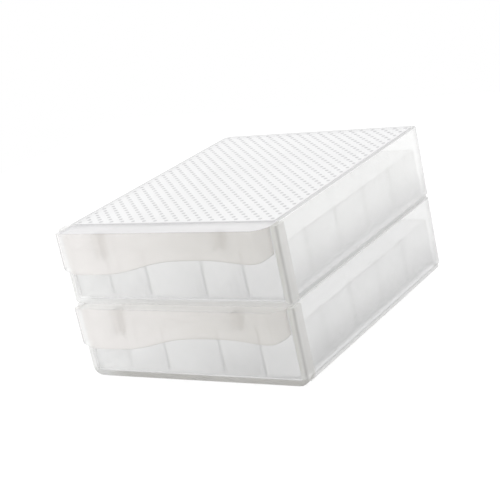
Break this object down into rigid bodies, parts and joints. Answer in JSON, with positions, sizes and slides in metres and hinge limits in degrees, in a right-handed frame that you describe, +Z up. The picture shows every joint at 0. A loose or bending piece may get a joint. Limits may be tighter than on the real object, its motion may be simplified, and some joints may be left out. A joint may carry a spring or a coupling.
{
  "type": "egg storage container",
  "caption": "Stack of frosted plastic egg keepers: each tier is a sleeve with a dotted top cover and a pull-out drawer with a wavy hanging lip, parted into egg cells.",
  "frame": {"origin": "centre of the bottom of the object's bounding box, on the surface it stands on", "axes": "+Z up, -Y towards the drawer fronts, +X to the right seen from the front"},
  "size_m": [0.225, 0.281, 0.14],
  "materials": {
    "housing_plastic": "satin, frosted",
    "cover_plastic": "satin, frosted, with raised dots",
    "drawer_plastic": "satin, frosted",
    "pull_plastic": "satin, frosted",
    "divider_plastic": "satin, frosted"
  },
  "bodies": {
    "lower_tier": {"lower_housing": "housing_plastic", "lower_cover": "cover_plastic"},
    "lower_drawer_unit": {"lower_drawer": "drawer_plastic", "lower_pull": "pull_plastic", "lower_row_divider_1": "divider_plastic", "lower_row_divider_2": "divider_plastic", "lower_row_divider_3": "divider_plastic", "lower_row_divider_4": "divider_plastic", "lower_column_divider_1": "divider_plastic", "lower_column_divider_2": "divider_plastic"},
    "upper_tier": {"upper_housing": "housing_plastic", "upper_cover": "cover_plastic"},
    "upper_drawer_unit": {"upper_drawer": "drawer_plastic", "upper_pull": "pull_plastic", "upper_row_divider_1": "divider_plastic", "upper_row_divider_2": "divider_plastic", "upper_row_divider_3": "divider_plastic", "upper_row_divider_4": "divider_plastic", "upper_column_divider_1": "divider_plastic", "upper_column_divider_2": "divider_plastic"}
  },
  "joints": [
    {"name": "lower_drawer_slide", "type": "slide", "parent": "lower_tier", "child": "lower_drawer_unit", "axis": [0, -1, 0], "range_m": [0, 0.2]},
    {"name": "upper_tier_lift", "type": "slide", "parent": "lower_tier", "child": "upper_tier", "axis": [0, 0, 1], "range_m": [0, 0.1]},
    {"name": "upper_drawer_slide", "type": "slide", "parent": "upper_tier", "child": "upper_drawer_unit", "axis": [0, -1, 0], "range_m": [0, 0.2]}
  ]
}
